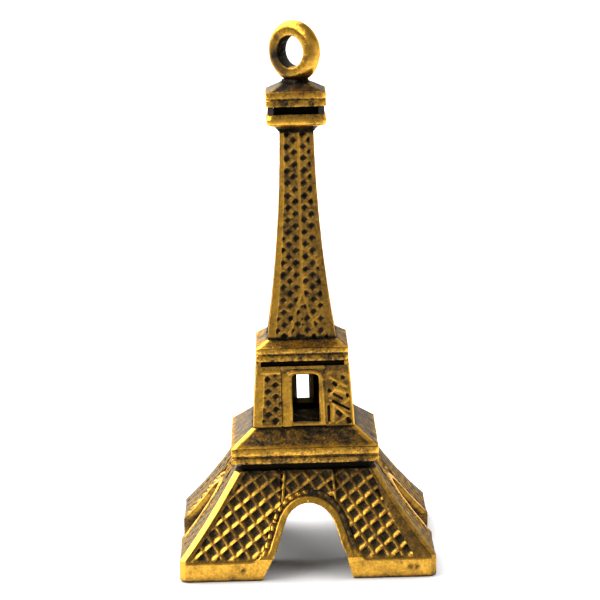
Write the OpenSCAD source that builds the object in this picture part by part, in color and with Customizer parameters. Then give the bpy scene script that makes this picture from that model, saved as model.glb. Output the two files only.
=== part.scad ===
// Lattice tower charm: four splayed lattice legs joined by arches carry a moulded platform,
// a middle stage with windows, a second platform, a tapering lattice spire and a small
// cabin with a cast ring to hang it by. Millimetres, +Z up, origin at the centre of the
// base on the plane of the feet. Front is -Y.

/* [Base] */
// Width of the base across the feet
base_w = 11.7; // [11.3:0.1:12.1]
// Height of the upright plinth under each leg
plinth_h = 1.0; // [0.9:0.05:1.1]
// Height of the leg tops
leg_top_z = 4.5; // [4.4:0.05:4.6]
// Width across the leg tops
leg_top_w = 6.56; // [6.4:0.02:6.7]
// How far the leg faces hollow in from a straight slope
leg_sag = 0.1; // [0.06:0.01:0.12]

/* [Arches] */
// Radius of the arch crown
arch_r = 1.25; // [1.15:0.05:1.3]
// Height of the arch centre
arch_z = 1.9; // [1.8:0.05:1.95]
// Lean of the arch legs from upright, in degrees
arch_lean = 21.2; // [19:0.2:23]
// Width of the band round the arch
band_w = 0.55; // [0.5:0.01:0.58]
// Depth of the arch band and of the lattice panel above it
band_t = 0.8; // [0.6:0.05:0.9]
// Half the width of the lattice panel above the arch
spandrel_hw = 1.3; // [1.2:0.05:1.4]

/* [Lattice] */
// Depth of the pits between the lattice bars
pit_depth = 0.2; // [0.12:0.02:0.26]
// Slope of the rising bars, in degrees
rise_angle = 34; // [33:1:40]
// Slope of the falling bars, in degrees
fall_angle = 53; // [46:1:55]
// Distance between neighbouring bars
bar_pitch = 0.505; // [0.46:0.005:0.54]
// Width of a pit
pit_w = 0.26; // [0.2:0.02:0.3]

/* [Platforms] */
// Height of the first platform's underside
deck1_z = 4.86; // [4.8:0.02:4.9]
// Width of the first platform
deck1_w = 6.84; // [6.8:0.02:6.9]
// Height of the first platform's top edge
deck1_top_z = 5.59; // [5.55:0.01:5.62]
// Height of the second platform's underside
deck2_z = 9.39; // [9.36:0.01:9.42]
// Width of the second platform
deck2_w = 4.3; // [4.26:0.02:4.34]
// Height of the second platform's top edge
deck2_top_z = 10.02; // [10:0.01:10.04]
// Depth of the groove between two mouldings
moulding_groove = 0.1; // [0.06:0.01:0.12]

/* [Middle stage] */
// Height of the middle stage's floor
mid_z = 6.36; // [6.3:0.02:6.4]
// Height of the middle stage's top
mid_top_z = 9.17; // [9.12:0.01:9.2]
// Width at the floor
mid_w = 4.74; // [4.7:0.02:4.78]
// Width at the top
mid_top_w = 4.36; // [4.34:0.02:4.38]
// Half the width of a window frame
frame_hw = 1.03; // [0.98:0.01:1.08]
// Depth of a window frame
frame_t = 0.6; // [0.5:0.05:0.7]
// Half the width of the window opening
window_hw = 0.62; // [0.56:0.02:0.66]
// Half the width of the back window opening
back_window_hw = 0.31; // [0.28:0.01:0.36]
// Height of the window sill
sill_z = 6.56; // [6.52:0.02:6.6]
// Height of the window head
head_z = 8.76; // [8.7:0.02:8.8]
// Distance between the pits in a column of a corner post
post_pitch = 0.565; // [0.5:0.005:0.6]

/* [Spire] */
// Height of the spire's foot
spire_z = 10.34; // [10.3:0.02:10.38]
// Height of the spire's top
spire_top_z = 19.9; // [19.8:0.05:20]
// Width at the foot
spire_w = 3.2; // [3.1:0.02:3.24]
// Width at the top
spire_top_w = 1.6; // [1.56:0.02:1.7]
// How far the spire's faces hollow in from a straight taper
spire_sag = 0.175; // [0.12:0.005:0.2]
// Thickness of the spire's lattice panels
panel_t = 0.18; // [0.14:0.01:0.2]
// Distance between the pits in a column of the spire lattice
spire_pitch = 0.567; // [0.54:0.001:0.6]
// Distance between two columns of the spire lattice
spire_column = 0.32; // [0.3:0.01:0.34]

/* [Cabin] */
// Height of the flange's wide edge
flange_z = 20.22; // [20.18:0.01:20.26]
// Height of the top of that edge
flange_top_z = 20.54; // [20.5:0.01:20.58]
// Height of the cabin floor
cabin_z = 20.75; // [20.7:0.01:20.78]
// Height of the cornice's underside
cornice_z = 21.11; // [21.08:0.01:21.14]
// Height of the cornice's top edge
cornice_top_z = 21.75; // [21.7:0.01:21.8]
// Width of the cabin
cabin_w = 2.8; // [2.74:0.02:2.84]
// Width of the dark block inside the cabin
cabin_core_w = 2.1; // [2:0.05:2.15]
// Height of the roof's flat top
roof_top_z = 22.12; // [22.05:0.01:22.15]

/* [Hanging loop] */
// Overall height of the charm
total_h = 25; // [24.9:0.05:25.1]
// Outer diameter of the ring
ring_od = 2.88; // [2.8:0.02:2.92]
// Diameter of the ring's hole
ring_id = 1.4; // [1.3:0.05:1.5]
// Width of the ring along its axis
ring_t = 0.8; // [0.7:0.02:0.84]
// Rounding of the ring's edges
ring_edge_r = 0.12; // [0.08:0.01:0.15]
// Turn of the ring's axis from the front towards the left, in degrees
ring_turn = 38; // [30:1:50]
// Width of the neck at the roof
neck_w = 1.3; // [1.24:0.02:1.34]
// Width of the neck under the ring
neck_top_w = 0.92; // [0.86:0.02:0.96]

/* [Hidden] */

gold = [0.80, 0.58, 0.20];
old_gold = [0.62, 0.44, 0.16];
dark_gold = [0.42, 0.31, 0.14];
patina = [0.12, 0.09, 0.06];

base_hw = base_w / 2;
leg_top_hw = leg_top_w / 2;
spire_hw = spire_w / 2;
spire_top_hw = spire_top_w / 2;
ring_z = total_h - ring_od / 2;
corner_border = 0.36;
pit_margin = 0.15;
rib_w = 0.18;
fork_z = 12.6;
long = 20;
arc_fn = 240;
crown_steps = 24;

// ---- Profiles that hollow in along an arc ----

// Radius of the arc that hollows a slope in by sag at its middle
function arc_radius(z0, w0, z1, w1, sag) =
    let (chord = norm([w0 - w1, z1 - z0])) chord * chord / (8 * sag) + sag / 2;

// Centre of that arc, outside the slope
function arc_centre(z0, w0, z1, w1, sag) =
    let (chord = norm([w0 - w1, z1 - z0]))
    let (reach = arc_radius(z0, w0, z1, w1, sag) - sag)
    [(w0 + w1) / 2 + reach * (z1 - z0) / chord, (z0 + z1) / 2 + reach * (w0 - w1) / chord];

// Half width at height z of a slope that hollows in
function hollow_w(z, z0, w0, z1, w1, sag) =
    let (c = arc_centre(z0, w0, z1, w1, sag))
    let (r = arc_radius(z0, w0, z1, w1, sag))
    c[0] - sqrt(r * r - pow(z - c[1], 2));

function leg_w(z) = hollow_w(z, plinth_h, base_hw, leg_top_z, leg_top_hw, leg_sag);
function spire_half(z) = hollow_w(z, spire_z, spire_hw, spire_top_z, spire_top_hw, spire_sag);

// One side of a profile: from the centre line out to a hollowed slope
module hollow_side(z0, w0, z1, w1, sag) {
    difference() {
        polygon([[0, z0], [w0, z0], [w1, z1], [0, z1]]);
        translate(arc_centre(z0, w0, z1, w1, sag))
            circle(r = arc_radius(z0, w0, z1, w1, sag), $fn = arc_fn);
    }
}

module base_side() {
    square([base_hw, plinth_h]);
    hollow_side(plinth_h, base_hw, leg_top_z, leg_top_hw, leg_sag);
}

module spire_side() {
    hollow_side(spire_z, spire_hw, spire_top_z, spire_top_hw, spire_sag);
}

// ---- Placing flat outlines in the tower ----

// Draws an outline of the front elevation as a bar running front to back
module front_bar() {
    rotate([90, 0, 0])
        linear_extrude(long, center = true)
            children();
}

// Draws an outline of the front elevation as a bar through the front half only
module front_half_bar() {
    rotate([90, 0, 0])
        linear_extrude(long / 2)
            children();
}

// Draws an outline of the side elevation as a bar running left to right
module side_bar() {
    rotate([90, 0, 90])
        linear_extrude(long, center = true)
            children();
}

// Square tower body whose four faces follow the profile in children
module square_body() {
    intersection() {
        front_bar() {
            children();
            mirror([1, 0]) children();
        }
        side_bar() {
            children();
            mirror([1, 0]) children();
        }
    }
}

// Skin of thickness t on the front face of the profile in children
module front_skin(t) {
    side_bar() {
        difference() {
            mirror([1, 0]) children();
            translate([t, 0]) mirror([1, 0]) children();
        }
    }
}

// Turns a front piece to another side: 0 front, 1 right, 2 back, 3 left
module turned(side) {
    rotate([0, 0, 90 * side]) children();
}

// Square frustum between two heights
module frustum(z0, w0, z1, w1) {
    side = [[-w0 / 2, z0], [w0 / 2, z0], [w1 / 2, z1], [-w1 / 2, z1]];
    intersection() {
        front_bar() polygon(side);
        side_bar() polygon(side);
    }
}

// Square plate between two heights
module plate(z0, z1, w) {
    translate([-w / 2, -w / 2, z0])
        cube([w, w, z1 - z0]);
}

// Plate with two mouldings and a groove between them
module moulded_plate(z0, z1, w, groove_z0, groove_z1) {
    plate(z0, groove_z0, w);
    plate(groove_z0, groove_z1, w - 2 * moulding_groove);
    plate(groove_z1, z1, w);
}

// ---- Arches ----

// Outline of an arch at radius r: a round crown on two leaning legs
module arch_outline(r) {
    foot_x = (r + arch_z * sin(arch_lean)) / cos(arch_lean);
    step = (180 - 2 * arch_lean) / crown_steps;
    polygon(concat(
        [[-foot_x, 0], [foot_x, 0]],
        [for (i = [0:crown_steps])
            let (a = arch_lean + i * step)
                [r * cos(a), arch_z + r * sin(a)]]
    ));
}

// Distance of a point of the front elevation from the arch centre line, leaning legs included
function arch_distance(x, z) =
    let (above = (z - arch_z) * cos(arch_lean) - abs(x) * sin(arch_lean))
    above > 0
        ? norm([x, z - arch_z])
        : abs(x) * cos(arch_lean) + (z - arch_z) * sin(arch_lean);

module arch(side) {
    color(gold)
        turned(side)
            intersection() {
                front_skin(band_t) base_side();
                front_half_bar()
                    difference() {
                        arch_outline(arch_r + band_w);
                        arch_outline(arch_r);
                        translate([-long / 2, -long])
                            square([long, long + plinth_h]);
                    }
            }
}

// ---- Lattice ----

// Steps from one pit to the next along the rising and the falling bars
bar_cross = bar_pitch / sin(rise_angle + fall_angle);
rise_step = bar_cross * [cos(rise_angle), sin(rise_angle)];
fall_step = bar_cross * [cos(fall_angle), -sin(fall_angle)];

// Centre of pit (i, j), counted from the pit nearest the top of the arch
function pit_at(i, j) = [0.12, 3.73] + i * rise_step + j * fall_step;

// A four-sided pit between two pairs of bars
module pit() {
    half = pit_w / bar_pitch / 2;
    polygon([
        -half * rise_step - half * fall_step,
        half * rise_step - half * fall_step,
        half * rise_step + half * fall_step,
        -half * rise_step + half * fall_step
    ]);
}

// Whether a pit at p clears the panel's edges: its corner strip, its foot and top, and the arch
function in_leg_panel(p, reach) =
    abs(p[0]) < leg_w(p[1]) - reach
    && p[1] > plinth_h + pit_margin
    && p[1] < leg_top_z - pit_margin
    && abs(p[0]) > spandrel_hw + pit_margin
    && arch_distance(p[0], p[1]) > arch_r + band_w + pit_margin;

// The same for the panel above the arch, between its two end ribs
function in_spandrel(p) =
    abs(p[0]) < spandrel_hw - rib_w - pit_margin
    && p[1] < leg_top_z - pit_margin
    && arch_distance(p[0], p[1]) > arch_r + band_w + pit_margin;

// Pits of the leg panel on one side of the front elevation: dir -1 left, 1 right
module leg_pits(dir) {
    for (i = [-14:14], j = [-14:14])
        let (p = pit_at(i, j))
            if (p[0] * dir > 0 && in_leg_panel(p, corner_border + pit_margin))
                translate(p) pit();
}

module spandrel_pits() {
    for (i = [-6:6], j = [-6:6])
        let (p = pit_at(i, j))
            if (in_spandrel(p))
                translate(p) pit();
}

// ---- Legs ----

// Front-left leg before turning: a column with its foot, cut by both arches and their bands
module leg(side) {
    color(old_gold)
        turned(side)
            difference() {
                intersection() {
                    square_body() base_side();
                    translate([-long, -long, 0])
                        cube([long, long, leg_top_z]);
                }
                leg_gap();
                mirror([1, -1, 0]) leg_gap();
                intersection() {
                    front_skin(pit_depth) base_side();
                    front_half_bar() leg_pits(-1);
                }
                turned(3)
                    intersection() {
                        front_skin(pit_depth) base_side();
                        front_half_bar() leg_pits(1);
                    }
            }
}

// Space beside the front-left leg: passage under the arch, room behind the lattice, band seat
module leg_gap() {
    front_bar() arch_outline(arch_r);
    front_bar()
        translate([-spandrel_hw, arch_z])
            square([2 * spandrel_hw, long]);
    intersection() {
        front_skin(band_t) base_side();
        front_half_bar()
            difference() {
                arch_outline(arch_r + band_w);
                translate([-long / 2, -long])
                    square([long, long + plinth_h]);
            }
    }
}

module spandrel(side) {
    color(old_gold)
        turned(side)
            difference() {
                intersection() {
                    front_skin(band_t) base_side();
                    front_half_bar()
                        difference() {
                            translate([-spandrel_hw, arch_z])
                                square([2 * spandrel_hw, leg_top_z - arch_z]);
                            arch_outline(arch_r + band_w);
                        }
                }
                intersection() {
                    front_skin(pit_depth) base_side();
                    front_half_bar() spandrel_pits();
                }
            }
}

// ---- First platform ----

module base_collar() {
    color(patina)
        plate(leg_top_z, deck1_z, leg_top_w - 0.6);
}

module first_platform() {
    color(gold)
        moulded_plate(deck1_z, deck1_top_z, deck1_w, deck1_z + 0.26, deck1_z + 0.37);
}

module first_roof() {
    color(dark_gold)
        frustum(deck1_top_z, deck1_w - 0.06, mid_z, mid_w + 0.06);
}

// ---- Middle stage ----

module mid_body() {
    frustum(mid_z, mid_w, mid_top_z, mid_top_w);
}

// Two staggered columns of pits beside a window frame, on the left of the front face
module post_pits() {
    outer_x = -1.63;
    column_gap = 0.35;
    first_z = sill_z + 0.34;
    for (row = [0:3], column = [0, 1])
        translate([outer_x + column_gap * column, first_z + post_pitch * (row - column / 2)])
            circle(d = 0.3, $fn = 4);
}

module post_pit_cut() {
    face = (mid_w + mid_top_w) / 4;
    rotate([90, 0, 0])
        translate([0, 0, face - pit_depth])
            linear_extrude(long)
                post_pits();
}

// Front-left corner post before turning
module mid_post(side) {
    color(old_gold)
        turned(side)
            difference() {
                intersection() {
                    mid_body();
                    translate([-long - frame_hw, -long - frame_hw, 0])
                        cube([long, long, long]);
                }
                post_pit_cut();
                mirror([1, -1, 0]) post_pit_cut();
            }
}

// Window opening with eased upper corners
module window_outline(hw) {
    ease = 0.16;
    translate([-hw, sill_z])
        square([2 * hw, head_z - sill_z - ease]);
    translate([-hw + ease, sill_z])
        square([2 * (hw - ease), head_z - sill_z]);
    for (dir = [-1, 1])
        translate([dir * (hw - ease), head_z - ease])
            circle(r = ease, $fn = 48);
}

module window(side, hw) {
    color(gold)
        turned(side)
            difference() {
                intersection() {
                    mid_body();
                    translate([-frame_hw, -long, 0])
                        cube([2 * frame_hw, long - mid_top_w / 2 + frame_t, long]);
                }
                front_half_bar() window_outline(hw);
            }
}

// ---- Second platform ----

module upper_collar() {
    groove_z = mid_top_z;
    block_w = 0.25;
    color(patina)
        plate(groove_z, deck2_z, mid_top_w - 0.3);
    color(dark_gold)
        for (side = [0:3])
            turned(side)
                translate([-mid_top_w / 2, -mid_top_w / 2, groove_z])
                    cube([block_w, block_w, deck2_z - groove_z]);
}

module second_platform() {
    color(gold)
        moulded_plate(deck2_z, deck2_top_z, deck2_w, deck2_z + 0.27, deck2_z + 0.35);
}

module second_roof() {
    color(dark_gold)
        frustum(deck2_top_z, deck2_w - 0.06, spire_z, spire_w + 0.04);
}

// ---- Spire ----

// Core of the spire, inside its four lattice panels
module spire_core() {
    color(patina)
        intersection() {
            front_bar() spire_core_outline();
            side_bar() spire_core_outline();
        }
}

module spire_core_outline() {
    intersection() {
        translate([-panel_t, 0]) spire_side();
        translate([0, spire_z]) square([long, spire_top_z - spire_z]);
    }
    mirror([1, 0])
        intersection() {
            translate([-panel_t, 0]) spire_side();
            translate([0, spire_z]) square([long, spire_top_z - spire_z]);
        }
}

// Half the width of the plain strip beside a spire corner, wider towards the foot
function spire_strip(z) = 0.04 + 0.2 * spire_half(z);

// Half the spread of the two legs that the centre rib splits into near the foot
function rib_spread(z) = max(0, fork_z - z) * 0.31;

// Staggered columns of diamond pits on each side of the centre rib and inside its fork
module spire_pits() {
    half_x = 0.15;
    half_z = 0.13;
    first_x = rib_w / 2 + 0.11;
    clear = first_x - 0.01;
    for (row = [0:17], column = [0:2], dir = [-1, 1])
        let (parity = (column + (dir > 0 ? 0 : 1)) % 2)
        let (x = dir * (first_x + spire_column * column))
        let (z = spire_z + 0.1 + spire_pitch * (row + parity / 2))
        let (outer = spire_half(z) - spire_strip(z) - half_x)
        let (beside_rib = abs(x) > rib_spread(z) + clear)
        let (in_fork = abs(x) < rib_spread(z) - clear)
            if (abs(x) < outer && z < spire_top_z - 0.2 && (beside_rib || in_fork))
                translate([x, z])
                    polygon([[-half_x, 0], [0, -half_z], [half_x, 0], [0, half_z]]);
}

module spire_panel(side) {
    color(old_gold)
        turned(side)
            difference() {
                intersection() {
                    front_skin(panel_t) spire_side();
                    linear_extrude(total_h)
                        polygon([[0, 0], [-long, -long], [long, -long]]);
                }
                front_half_bar() spire_pits();
            }
}

// ---- Cabin ----

module cabin_floor() {
    color(gold) {
        frustum(spire_top_z, spire_top_w + 0.5, flange_z, cabin_w - 0.1);
        plate(flange_z, flange_top_z, cabin_w);
        frustum(flange_top_z, cabin_w, cabin_z, cabin_w - 0.2);
    }
}

module cabin_core() {
    color(patina)
        plate(cabin_z, cornice_z, cabin_core_w);
}

module cabin_corner_posts() {
    post_w = (cabin_w - 0.2 - cabin_core_w) / 2;
    color(dark_gold)
        for (side = [0:3])
            turned(side)
                translate([-cabin_w / 2 + 0.1, -cabin_w / 2 + 0.1, cabin_z])
                    cube([post_w, post_w, cornice_z - cabin_z]);
}

module cabin_cornice() {
    color(gold)
        moulded_plate(cornice_z, cornice_top_z, cabin_w, cornice_z + 0.3, cornice_z + 0.36);
}

module cabin_roof() {
    color(dark_gold)
        difference() {
            frustum(cornice_top_z, cabin_w - 0.08, roof_top_z, 1.3);
            loop_neck();
        }
}

// ---- Hanging loop ----

// Tapered neck, set on the diagonal of the tower, that the ring's lower side sinks into
module loop_neck() {
    weld = 0.12;
    rotate([0, 0, 45])
        frustum(cornice_top_z, neck_w, ring_z - ring_od / 2 + weld, neck_top_w);
}

// Ring with a straight-walled hole; its axis points between the front and the front-left corner
module loop_ring() {
    outer_r = ring_od / 2;
    inner_r = ring_id / 2;
    straight = ring_t / 2 - ring_edge_r;
    translate([0, 0, ring_z])
        rotate([0, 0, 90 - ring_turn])
            rotate([0, 90, 0])
                rotate_extrude($fn = 96) {
                    translate([inner_r, -straight])
                        square([outer_r - inner_r, 2 * straight]);
                    translate([inner_r + ring_edge_r, -ring_t / 2])
                        square([outer_r - inner_r - 2 * ring_edge_r, ring_t]);
                    for (r = [inner_r + ring_edge_r, outer_r - ring_edge_r], end = [-1, 1])
                        translate([r, end * straight])
                            circle(r = ring_edge_r, $fn = 32);
                }
}

module hanging_loop() {
    color(gold) {
        loop_neck();
        loop_ring();
    }
}

// ---- Pieces ----

leg(0);  // leg_front_left
leg(1);  // leg_front_right
leg(3);  // leg_back_left
leg(2);  // leg_back_right
arch(0);  // arch_front
arch(1);  // arch_right
arch(2);  // arch_back
arch(3);  // arch_left
spandrel(0);  // spandrel_front
spandrel(1);  // spandrel_right
spandrel(2);  // spandrel_back
spandrel(3);  // spandrel_left
base_collar();
first_platform();
first_roof();
mid_post(0);  // mid_post_front_left
mid_post(1);  // mid_post_front_right
mid_post(3);  // mid_post_back_left
mid_post(2);  // mid_post_back_right
window(0, window_hw);  // window_front
window(1, window_hw);  // window_right
window(2, back_window_hw);  // window_back
window(3, window_hw);  // window_left
upper_collar();
second_platform();
second_roof();
spire_core();
spire_panel(0);  // spire_panel_front
spire_panel(1);  // spire_panel_right
spire_panel(2);  // spire_panel_back
spire_panel(3);  // spire_panel_left
cabin_floor();
cabin_core();
cabin_corner_posts();
cabin_cornice();
cabin_roof();
hanging_loop();
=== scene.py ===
"""Antique-gold lattice tower charm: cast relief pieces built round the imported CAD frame."""

import math

import bmesh
import bpy
import numpy as np
from mathutils import Matrix, Vector


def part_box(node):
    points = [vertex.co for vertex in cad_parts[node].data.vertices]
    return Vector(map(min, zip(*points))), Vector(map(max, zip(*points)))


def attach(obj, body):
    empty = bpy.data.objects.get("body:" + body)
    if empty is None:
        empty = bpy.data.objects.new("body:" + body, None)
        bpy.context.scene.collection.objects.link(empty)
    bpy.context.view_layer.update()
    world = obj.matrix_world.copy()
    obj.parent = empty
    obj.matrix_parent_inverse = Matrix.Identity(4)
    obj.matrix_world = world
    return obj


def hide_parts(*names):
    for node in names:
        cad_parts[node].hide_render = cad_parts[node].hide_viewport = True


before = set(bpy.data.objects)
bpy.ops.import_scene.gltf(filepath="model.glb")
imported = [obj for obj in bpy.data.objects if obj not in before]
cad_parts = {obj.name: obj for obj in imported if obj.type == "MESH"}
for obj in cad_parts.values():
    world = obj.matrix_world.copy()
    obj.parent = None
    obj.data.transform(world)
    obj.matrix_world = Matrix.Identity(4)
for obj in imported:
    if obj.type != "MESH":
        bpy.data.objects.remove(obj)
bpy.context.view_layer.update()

MM = 0.001
# Points nearer than WELD are joined, and edges shorter than SLIVER are dropped, in metres
WELD = 1.5e-6
SLIVER = 1.0e-6
X, Y, Z = 0, 1, 2
SIDES = ("front", "right", "back", "left")
LEGS = ("front_left", "front_right", "back_right", "back_left")


def low(node, axis):
    """Lowest coordinate of a CAD node, in millimetres."""
    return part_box(node)[0][axis] / MM


def high(node, axis):
    """Highest coordinate of a CAD node, in millimetres."""
    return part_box(node)[1][axis] / MM


# ---- Sizes, in millimetres: positions from the frame, detail sizes named here ----

# Base: legs, their plinths, and the collar that the legs stand out past
base_hw = high("leg_front_right", X)
plinth_h = low("arch_front", Z)
leg_top_z = high("leg_front_right", Z)
collar_hw = high("base_collar", X)
leg_top_hw = collar_hw + 0.3
leg_sag = 0.1

# Arches, their bands, and the lattice panels above them
arch_r = 1.25
arch_z = 1.9
arch_lean = math.radians(21.2)
band_t = 0.8
band_w = high("arch_front", Z) - arch_z - arch_r
band_outer = arch_r + band_w
band_top_z = arch_z + band_outer
bead_pitch = 0.35
spandrel_hw = high("spandrel_front", X)

# Platforms, the middle stage between them, and its windows
deck1_z = low("first_platform", Z)
deck1_top_z = high("first_platform", Z)
deck1_hw = high("first_platform", X)
mid_z = high("first_roof", Z)
mid_top_z = high("window_front", Z)
mid_hw = high("mid_post_front_right", X)
frame_hw = high("window_front", X)
frame_t = 0.6
mid_top_hw = frame_t - high("window_front", Y)
window_head = 8.76
deck2_z = low("second_platform", Z)
deck2_top_z = high("second_platform", Z)
deck2_hw = high("second_platform", X)

# Spire
spire_z = high("second_roof", Z)
spire_top_z = high("spire_panel_front", Z)
spire_hw = high("spire_panel_right", X)
spire_top_hw = 0.8
spire_sag = 0.175
panel_t = 0.18

# Cabin and its flange
flange_z = spire_top_z + 0.32
flange_edge_z = 20.5
cabin_z = high("cabin_floor", Z)
cabin_hw = high("cabin_floor", X)
core_hw = high("cabin_core", X)
cornice_z = low("cabin_cornice", Z)
cornice_top_z = high("cabin_cornice", Z)
roof_top_z = high("cabin_roof", Z)

# Ring
total_h = high("hanging_loop", Z)
ring_outer = 1.44
ring_inner = 0.7
ring_z = total_h - ring_outer - 0.03
ring_half_t = 0.4
ring_turn = math.radians(38)

# Distance between the points of a relief
GRID = 0.038


# ---- Repeatable noise, for the grain of a casting ----

def hashed(ix, iy, iz):
    """A number from 0 to 1 for each lattice corner."""
    value = np.sin(ix * 12.9898 + iy * 78.233 + iz * 37.719) * 43758.5453
    return value - np.floor(value)


def grain(points, size, seed=0.0):
    """Smooth noise from -1 to 1 at each point, with lumps about size millimetres across."""
    p = np.asarray(points, float) / size + seed * 17.31
    cell = np.floor(p)
    f = p - cell
    f = f * f * (3 - 2 * f)
    total = 0.0
    for dx in (0, 1):
        for dy in (0, 1):
            for dz in (0, 1):
                corner = hashed(cell[..., 0] + dx, cell[..., 1] + dy, cell[..., 2] + dz)
                wx = f[..., 0] if dx else 1 - f[..., 0]
                wy = f[..., 1] if dy else 1 - f[..., 1]
                wz = f[..., 2] if dz else 1 - f[..., 2]
                total = total + corner * wx * wy * wz
    return 2 * total - 1


def smooth(edge0, edge1, x):
    """0 below edge0, 1 above edge1, and a smooth ramp between."""
    t = np.clip((x - edge0) / (edge1 - edge0), 0, 1)
    return t * t * (3 - 2 * t)


# ---- Profiles ----

def hollow(z0, w0, z1, w1, sag):
    """Half width at height z of a face that hollows in along an arc between two heights."""
    chord = math.hypot(w0 - w1, z1 - z0)
    radius = chord * chord / (8 * sag) + sag / 2
    reach = radius - sag
    cx = (w0 + w1) / 2 + reach * (z1 - z0) / chord
    cz = (z0 + z1) / 2 + reach * (w0 - w1) / chord
    return lambda z: cx - np.sqrt(radius ** 2 - (z - cz) ** 2)


leg_slope = hollow(plinth_h, base_hw, leg_top_z, leg_top_hw, leg_sag)
spire_slope = hollow(spire_z, spire_hw, spire_top_z, spire_top_hw, spire_sag)


def leg_w(z):
    """Half width of the base at height z."""
    z = np.asarray(z, float)
    return np.where(z < plinth_h, base_hw, leg_slope(np.maximum(z, plinth_h)))


def mid_w(z):
    """Half width of the middle stage at height z."""
    t = (np.asarray(z, float) - mid_z) / (mid_top_z - mid_z)
    return mid_hw + t * (mid_top_hw - mid_hw)


def arch_edge(r, z):
    """Half width at height z of an arch at radius r."""
    line = (r + arch_z * math.sin(arch_lean)) / math.cos(arch_lean) - z * math.tan(arch_lean)
    if z < arch_z + r * math.sin(arch_lean):
        return line
    return math.sqrt(max(r * r - (z - arch_z) ** 2, 0.0))


# ---- Meshes ----

def turned(points, side):
    """Points of a front piece turned to another side: 0 front, 1 right, 2 back, 3 left."""
    out = np.array(points, float)
    for _ in range(side % 4):
        out = np.stack([-out[..., 1], out[..., 0], out[..., 2]], -1)
    return out


def cast_shift(x, z):
    """How far the front arch sits to the right of the middle, as cast."""
    return 0.13 * smooth(0.2, 1.3, z) * (1 - smooth(4.3, 4.9, z)) * (1 - smooth(1.9, 3.6, np.abs(x)))


def make_piece(name, node, rows, wear_and_light, material, slot, side=0, ring=False, crease=55,
               rough=0.022, grime=0.3, seam=None):
    """A closed cast piece lofted through rows of loops, which stands for a CAD node.
    rows is (m, n, 3) in millimetres, and the levels (m, n) after it say how rubbed each point is,
    with painted light and shade mixed in. A ring joins its last row to its first, and any other piece
    is capped at both ends. Edges sharper than crease degrees stay crisp. rough is the depth of the
    casting's lumps, and grime is how much less their low spots are rubbed. The piece meets its
    neighbours seam millimetres from the middle, and stays shut there."""
    rows = turned(np.asarray(rows, float), side)
    wear_and_light = np.asarray(wear_and_light, float)
    m, n = rows.shape[:2]
    count = m if ring else m - 1
    i = np.arange(count)[:, None]
    j = np.arange(n)[None, :]
    nxt = (i + 1) % m
    corners = (i * n + j, i * n + (j + 1) % n, nxt * n + (j + 1) % n, nxt * n + j)
    faces = np.stack(np.broadcast_arrays(*corners), -1).reshape(-1, 4).tolist()
    if not ring:
        faces.append(list(range(n))[::-1])
        faces.append(list(range((m - 1) * n, m * n)))
    mesh = bpy.data.meshes.new(name)
    mesh.from_pydata((rows.reshape(-1, 3) * MM).tolist(), [], faces)
    # Each point's level holds its rubbing, with painted light and shade mixed in
    layer = mesh.attributes.new("wear_and_light", "FLOAT", "POINT")
    layer.data.foreach_set("value", wear_and_light.reshape(-1).astype(np.float32))
    bm = bmesh.new()
    bm.from_mesh(mesh)
    bmesh.ops.remove_doubles(bm, verts=bm.verts, dist=WELD)
    bmesh.ops.dissolve_degenerate(bm, edges=bm.edges, dist=SLIVER)
    bmesh.ops.recalc_face_normals(bm, faces=bm.faces)
    bm.to_mesh(mesh)
    bm.free()
    erode(mesh, rough, grime, seam)
    mesh.shade_smooth()
    mesh.set_sharp_from_angle(angle=math.radians(crease))
    piece = bpy.data.objects.new(name, mesh)
    bpy.context.scene.collection.objects.link(piece)
    mesh.materials.append(material)
    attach(piece, "root")
    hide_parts(node)
    return piece


def erode(mesh, rough, grime, seam):
    """Sinks the surface a little in lumps, as a casting has, and leaves its low spots less rubbed.
    Seams and the tops of the plinths keep their place. The front arch moves to where it was cast."""
    count = len(mesh.vertices)
    co = np.zeros(count * 3)
    normal = np.zeros(count * 3)
    wear_and_light = np.zeros(count)
    mesh.vertices.foreach_get("co", co)
    mesh.vertices.foreach_get("normal", normal)
    layer = mesh.attributes["wear_and_light"].data
    layer.foreach_get("value", wear_and_light)
    p = co.reshape(-1, 3) / MM
    lump = 0.6 * grain(p, 0.42, 1) + 0.4 * grain(p, 0.17, 2)
    move = normal.reshape(-1, 3) * (rough * (0.5 + 0.7 * lump))[:, None]
    move[np.abs(p[:, Z] - plinth_h) < 0.01, Z] = 0
    if seam:
        for axis in (X, Y):
            move[np.abs(np.abs(p[:, axis]) - seam) < 0.02, axis] = 0
    p -= move
    in_front = smooth(1.2, 2.6, -p[:, Y])
    p[:, X] += cast_shift(p[:, X], p[:, Z]) * in_front
    mesh.vertices.foreach_set("co", (p * MM).reshape(-1))
    layer.foreach_set("value", wear_and_light - grime * smooth(-0.05, 0.6, lump))
    mesh.update()


def square_loop(hw, z, radius, per_side=60, per_corner=6):
    """A square loop with rounded corners, anticlockwise from above."""
    pts = []
    inner = hw - radius
    line = np.linspace(-inner, inner, per_side)
    angles = np.linspace(0, math.pi / 2, per_corner + 2)[1:-1]
    for k in range(4):
        edge = np.stack([line, np.full(per_side, -hw), np.full(per_side, z)], -1)
        arc = np.stack([inner + radius * np.sin(angles), -inner - radius * np.cos(angles),
                        np.full(per_corner, z)], -1)
        pts.append(turned(np.concatenate([edge, arc]), k))
    return np.concatenate(pts)


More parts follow.
